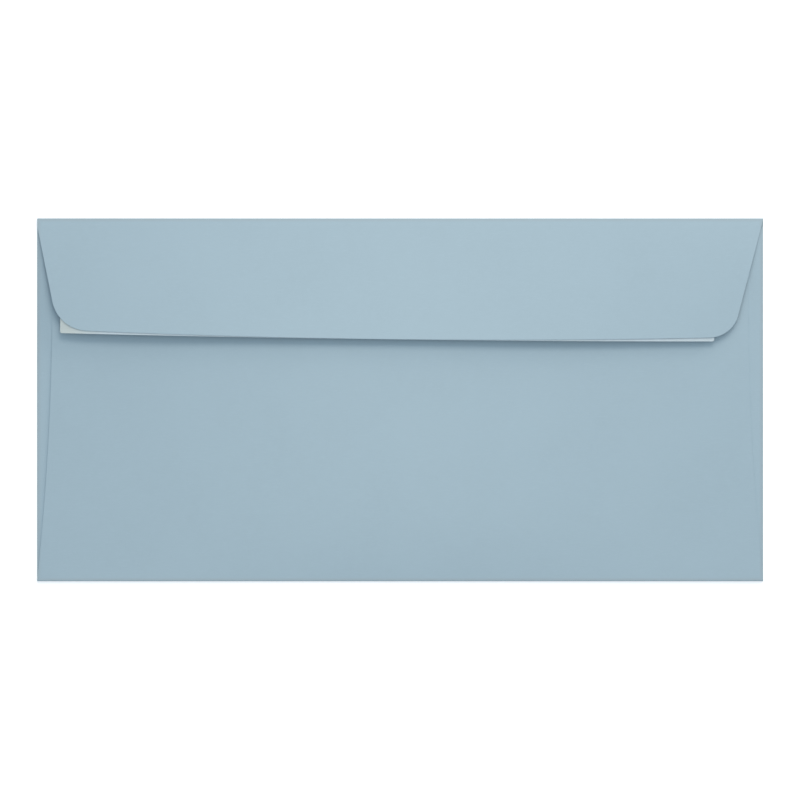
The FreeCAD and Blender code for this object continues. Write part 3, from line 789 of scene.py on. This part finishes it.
class ENVELOPE_OT_lay_strips(Operator):
    """Lay the tacky band under the flap and the peel-off strip over it"""

    bl_idname = "envelope.lay_strips"
    bl_label = "Lay the Seal and its Liner"

    def execute(self, context):
        sizes = context.scene.envelope_sizes
        colours = context.scene.envelope_colours
        shape = shape_of(sizes)
        seal = self.begin_strip(
            "tacky_seal", sizes, shape.liner_half - sizes.seal_end_margin, sizes.seal_width
        )
        self.place_strip(seal, sizes, shape, sizes.seal_edge_margin + sizes.seal_width / 2, 0)
        seal.data.materials.append(make_glue("tacky_band", colours.seal, 0.25))
        apply_modifier(seal, "SOLIDIFY", thickness=sizes.seal, offset=-1)
        smooth_piece(seal)
        finish_piece(seal, "seal_glue", "seal_glue")

        liner = self.begin_strip("peel_off_liner", sizes, shape.liner_half, sizes.liner_width)
        self.round_corners(sizes, shape)
        self.curl_corner(liner, sizes, shape)
        self.place_strip(liner, sizes, shape, sizes.liner_width / 2, sizes.seal)
        liner.data.materials.append(
            make_liner_paper("release_paper", colours.liner, colours.liner_aged)
        )
        liner.data.materials.append(make_cut_edge("cut_liner_edge", colours.liner_cut))
        apply_modifier(
            liner, "SOLIDIFY", thickness=sizes.liner_thickness, offset=-1,
            material_offset_rim=1,
        )
        smooth_piece(liner)
        finish_piece(liner, "liner_paper", "release_liner")
        return {"FINISHED"}

    @staticmethod
    def begin_strip(name, sizes, half_length, width):
        """A flat strip round the middle of its own plane."""
        piece = begin(
            name, bpy.ops.mesh.primitive_grid_add,
            x_subdivisions=round(2 * half_length / sizes.strip_step),
            y_subdivisions=round(width / sizes.strip_step), size=2,
        )
        widen(half_length, width / 2)
        return piece

    @staticmethod
    def round_corners(sizes, shape):
        radius = sizes.liner_corner
        for side in (1, -1):
            for end in (1, -1):
                centre = Vector((
                    side * (shape.liner_half - radius), end * (sizes.liner_width / 2 - radius), 0,
                ))
                for cut in range(1, STRIP_CORNER_STEPS):
                    turn = math.pi / 2 * cut / STRIP_CORNER_STEPS
                    outward = Vector((side * math.cos(turn), end * math.sin(turn), 0))
                    bpy.ops.mesh.select_all(action="SELECT")
                    trim(centre + outward * radius, outward)

    @staticmethod
    def curl_corner(piece, sizes, shape):
        """Lets the liner's left low corner, which no glue holds, hang down in a soft curl."""
        mesh = bmesh.from_edit_mesh(piece.data)
        corner = Vector((-shape.liner_half, -sizes.liner_width / 2))
        for vertex in mesh.verts:
            away = (vertex.co.xy - corner).length
            left = max(0, 1 - away / sizes.liner_curl_reach)
            vertex.co.z -= sizes.liner_curl * left ** 2
        bmesh.update_edit_mesh(piece.data)

    @staticmethod
    def place_strip(piece, sizes, shape, up, depth):
        """Bows a strip in its plane and lays it under the flap, bent as the flap is.

        up is from the liner's lower edge to the strip's middle line, depth from the flap's
        underside to the strip's upper face.
        """
        mesh = bmesh.from_edit_mesh(piece.data)
        for vertex in mesh.verts:
            vertex.co.y += sizes.liner_bow * (vertex.co.x / shape.liner_half) ** 2
        bmesh.update_edit_mesh(piece.data)
        skew = Matrix.Rotation(-sizes.liner_skew, 2)
        along, across = skew @ shape.flap_along, skew @ shape.flap_across
        shift = shape.liner_shift
        low_middle = Vector((
            shift,
            shift * shape.flap_along.y / shape.flap_along.x
            - shape.flap_depth - sizes.liner_peek,
        ))
        origin = flap_point(shape, low_middle + across * up)
        origin -= shape.flap_normal * (sizes.paper_thickness + depth)
        turn = Matrix((
            flap_way(shape, along), flap_way(shape, across), shape.flap_normal
        )).transposed()
        bpy.ops.object.mode_set(mode="OBJECT")
        piece.matrix_world = Matrix.Translation(origin) @ turn.to_4x4()
        bpy.ops.object.transform_apply(location=True, rotation=True, scale=True)
        bpy.ops.object.mode_set(mode="EDIT")
        bend_corners(piece, sizes, shape, lambda place: True)
        bpy.ops.object.mode_set(mode="OBJECT")


class ENVELOPE_OT_finish_glue(Operator):
    """Give the dried glue in the side seams its finish"""

    bl_idname = "envelope.finish_glue"
    bl_label = "Finish the Glue"

    def execute(self, context):
        colours = context.scene.envelope_colours
        dried = make_glue("dried_glue", colours.seam, 0.5)
        for node in ("seam_glue_left", "seam_glue_right"):
            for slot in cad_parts[node].material_slots:
                slot.material = dried
        return {"FINISHED"}


class ENVELOPE_OT_set_stage(Operator):
    """Set the floor, the soft lights and the camera over the envelope"""

    bl_idname = "envelope.set_stage"
    bl_label = "Set the Stage"

    def execute(self, context):
        studio = context.scene.envelope_studio
        self.add_floor(context, studio)
        self.add_lights(context, studio)
        self.add_camera(context, studio)
        return {"FINISHED"}

    @staticmethod
    def add_floor(context, studio):
        bpy.ops.object.select_all(action="DESELECT")
        bpy.ops.mesh.primitive_plane_add(
            size=studio.floor_size, location=(0, 0, CAD_LOW.z - FLOOR_GAP)
        )
        floor = context.object
        floor.name = "floor"
        bpy.ops.object.transform_apply(location=True, rotation=True, scale=True)
        floor.data.materials.append(
            make_floor("pale_floor", context.scene.envelope_colours.floor, studio.floor_glow)
        )

    def add_lights(self, context, studio):
        self.add_soft_light(
            context, "key_light", studio.key_distance, studio.key_height, studio.key_turn,
            (studio.key_width, studio.key_depth), studio.key_power,
        )
        self.add_soft_light(
            context, "low_light", studio.low_distance, studio.low_height, studio.low_turn,
            (studio.low_width, studio.low_depth), studio.low_power,
        )
        self.add_pool(context, studio)
        world = bpy.data.worlds.new("soft_sky")
        world.use_nodes = True
        sky = world.node_tree.nodes["Background"]
        sky.inputs["Color"].default_value = full(context.scene.envelope_colours.sky)
        sky.inputs["Strength"].default_value = studio.sky_strength
        context.scene.world = world

    @staticmethod
    def add_soft_light(context, name, distance, height, turn, size, power):
        """A flat light facing the envelope, its long side level."""
        reach = distance * math.cos(height)
        place = Vector((
            reach * math.sin(turn), reach * math.cos(turn), distance * math.sin(height),
        ))
        bpy.ops.object.light_add(type="AREA", location=place)
        light = context.object
        light.name = name
        light.rotation_euler = place.to_track_quat("Z", "Y").to_euler()
        light.data.shape = "RECTANGLE"
        light.data.size, light.data.size_y = size
        light.data.energy = power
        light.data.color = context.scene.envelope_colours.sun

    @staticmethod
    def add_pool(context, studio):
        """A spot lamp with a soft cone, which lights the back panel's middle a little more."""
        reach = studio.pool_distance * math.cos(studio.pool_height)
        way = Vector((
            reach * math.sin(studio.pool_turn), reach * math.cos(studio.pool_turn),
            studio.pool_distance * math.sin(studio.pool_height),
        ))
        target = Vector((studio.pool_aside, studio.pool_ahead, 0))
        bpy.ops.object.light_add(type="SPOT", location=target + way)
        light = context.object
        light.name = "pool_light"
        light.rotation_euler = way.to_track_quat("Z", "Y").to_euler()
        light.data.spot_size = studio.pool_cone
        light.data.spot_blend = 1
        light.data.shadow_soft_size = studio.pool_size
        light.data.energy = studio.pool_power
        light.data.color = context.scene.envelope_colours.sun

    @staticmethod
    def add_camera(context, studio):
        place = (studio.camera_aside, studio.camera_ahead, studio.camera_height)
        bpy.ops.object.camera_add(location=place, rotation=(0, 0, 0))
        camera = context.object
        camera.data.sensor_width = 36
        camera.data.lens = camera.data.sensor_width * studio.camera_height / studio.view_width
        camera.data.clip_end = 2 * studio.camera_height
        context.scene.camera = camera
        context.scene.view_settings.view_transform = "Standard"


class ENVELOPE_PT_panel(Panel):
    """Lists the steps that make the envelope"""

    bl_label = "Envelope"
    bl_idname = "ENVELOPE_PT_panel"
    bl_space_type = "VIEW_3D"
    bl_region_type = "UI"
    bl_category = "Envelope"

    def draw(self, context):
        for step in STEPS:
            self.layout.operator(step.bl_idname)
        for group in (
            context.scene.envelope_sizes, context.scene.envelope_colours,
            context.scene.envelope_studio,
        ):
            box = self.layout.box()
            for name in group.bl_rna.properties.keys():
                if name not in ("rna_type", "name"):
                    box.prop(group, name)


STEPS = (
    ENVELOPE_OT_fold_sheet, ENVELOPE_OT_lay_strips, ENVELOPE_OT_finish_glue,
    ENVELOPE_OT_set_stage,
)
CLASSES = (EnvelopeSizes, EnvelopeColours, EnvelopeStudio, *STEPS, ENVELOPE_PT_panel)


def register():
    for item in CLASSES:
        bpy.utils.register_class(item)
    bpy.types.Scene.envelope_sizes = PointerProperty(type=EnvelopeSizes)
    bpy.types.Scene.envelope_colours = PointerProperty(type=EnvelopeColours)
    bpy.types.Scene.envelope_studio = PointerProperty(type=EnvelopeStudio)


def unregister():
    del bpy.types.Scene.envelope_studio
    del bpy.types.Scene.envelope_colours
    del bpy.types.Scene.envelope_sizes
    for item in reversed(CLASSES):
        bpy.utils.unregister_class(item)


def main():
    register()
    bpy.ops.envelope.fold_sheet()
    bpy.ops.envelope.lay_strips()
    bpy.ops.envelope.finish_glue()
    bpy.ops.envelope.set_stage()


if __name__ == "__main__":
    main()
